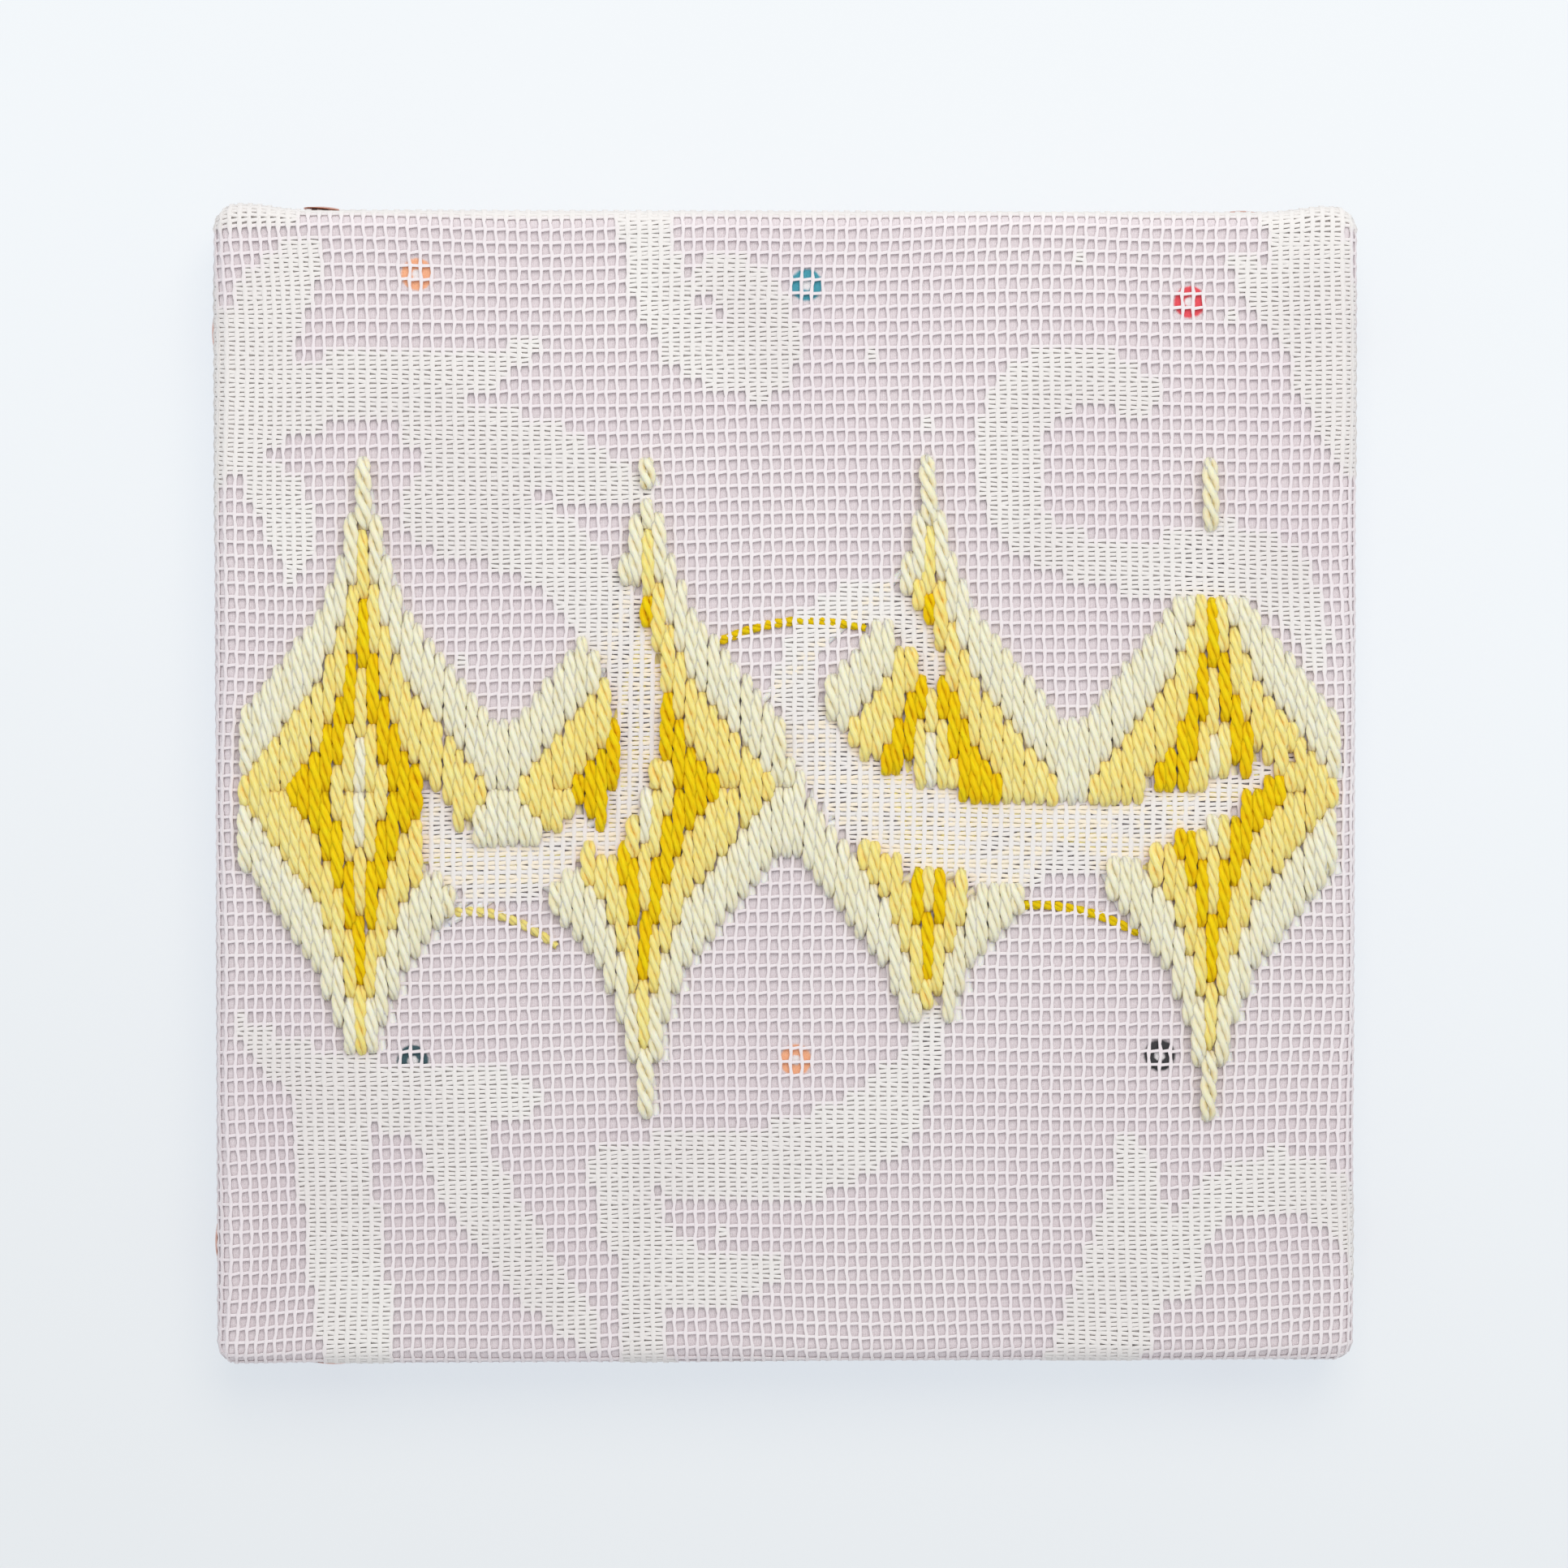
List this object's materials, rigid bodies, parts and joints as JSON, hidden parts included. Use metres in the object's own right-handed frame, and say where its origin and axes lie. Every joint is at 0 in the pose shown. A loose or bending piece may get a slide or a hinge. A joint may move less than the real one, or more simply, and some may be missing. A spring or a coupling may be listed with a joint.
{
  "type": "embroidered net panel on a stretcher frame",
  "caption": "Square wall panel: white filet net over mauve cloth, wrapped round a mitred wooden stretcher and worked with a raised band of flame-stitch medallions.",
  "frame": {"origin": "middle of the back, on the flat face of turned-in cloth that the panel lies on", "axes": "+X towards the panel's right, +Y towards its top edge, +Z out of its embroidered front"},
  "size_m": [0.2068, 0.2088, 0.0224],
  "materials": {
    "pine": "bare planed softwood, matte",
    "ground_cotton": "fine ribbed cotton, matte, with small printed rings",
    "net_cotton": "knitted filet lace net of white thread, matte",
    "copper": "polished copper plate",
    "ivory_yarn": "thick two-ply soft cotton yarn with a satin sheen",
    "pale_yarn": "thick two-ply soft cotton yarn with a satin sheen",
    "gold_yarn": "thick two-ply soft cotton yarn with a satin sheen"
  },
  "bodies": {
    "root": {"drawing_pin_bottom_left": "copper", "drawing_pin_bottom_right": "copper", "drawing_pin_left_lower": "copper", "drawing_pin_left_upper": "copper", "drawing_pin_right_lower": "copper", "drawing_pin_right_upper": "copper", "drawing_pin_top_left": "copper", "drawing_pin_top_right": "copper", "gold_stitches_01": "gold_yarn", "gold_stitches_02": "gold_yarn", "gold_stitches_03": "gold_yarn", "gold_stitches_04": "gold_yarn", "gold_stitches_05": "gold_yarn", "gold_stitches_06": "gold_yarn", "gold_stitches_07": "gold_yarn", "gold_stitches_08": "gold_yarn", "gold_stitches_09": "gold_yarn", "ground_cloth": "ground_cotton", "ivory_stitches_01": "ivory_yarn", "ivory_stitches_02": "ivory_yarn", "ivory_stitches_03": "ivory_yarn", "ivory_stitches_04": "ivory_yarn", "ivory_stitches_05": "ivory_yarn", "ivory_stitches_06": "ivory_yarn", "ivory_stitches_07": "ivory_yarn", "ivory_stitches_08": "ivory_yarn", "ivory_stitches_09": "ivory_yarn", "ivory_stitches_10": "ivory_yarn", "ivory_stitches_11": "ivory_yarn", "net": "net_cotton", "pale_stitches_01": "pale_yarn", "pale_stitches_02": "pale_yarn", "pale_stitches_03": "pale_yarn", "pale_stitches_04": "pale_yarn", "pale_stitches_05": "pale_yarn", "pale_stitches_06": "pale_yarn", "pale_stitches_07": "pale_yarn", "pale_stitches_08": "pale_yarn", "pale_stitches_09": "pale_yarn", "pale_stitches_10": "pale_yarn", "pale_stitches_11": "pale_yarn", "pale_stitches_12": "pale_yarn", "pale_stitches_13": "pale_yarn", "pale_stitches_14": "pale_yarn", "pale_stitches_15": "pale_yarn", "pale_stitches_16": "pale_yarn", "stretcher_bar_bottom": "pine", "stretcher_bar_left": "pine", "stretcher_bar_right": "pine", "stretcher_bar_top": "pine"}
  },
  "joints": []
}
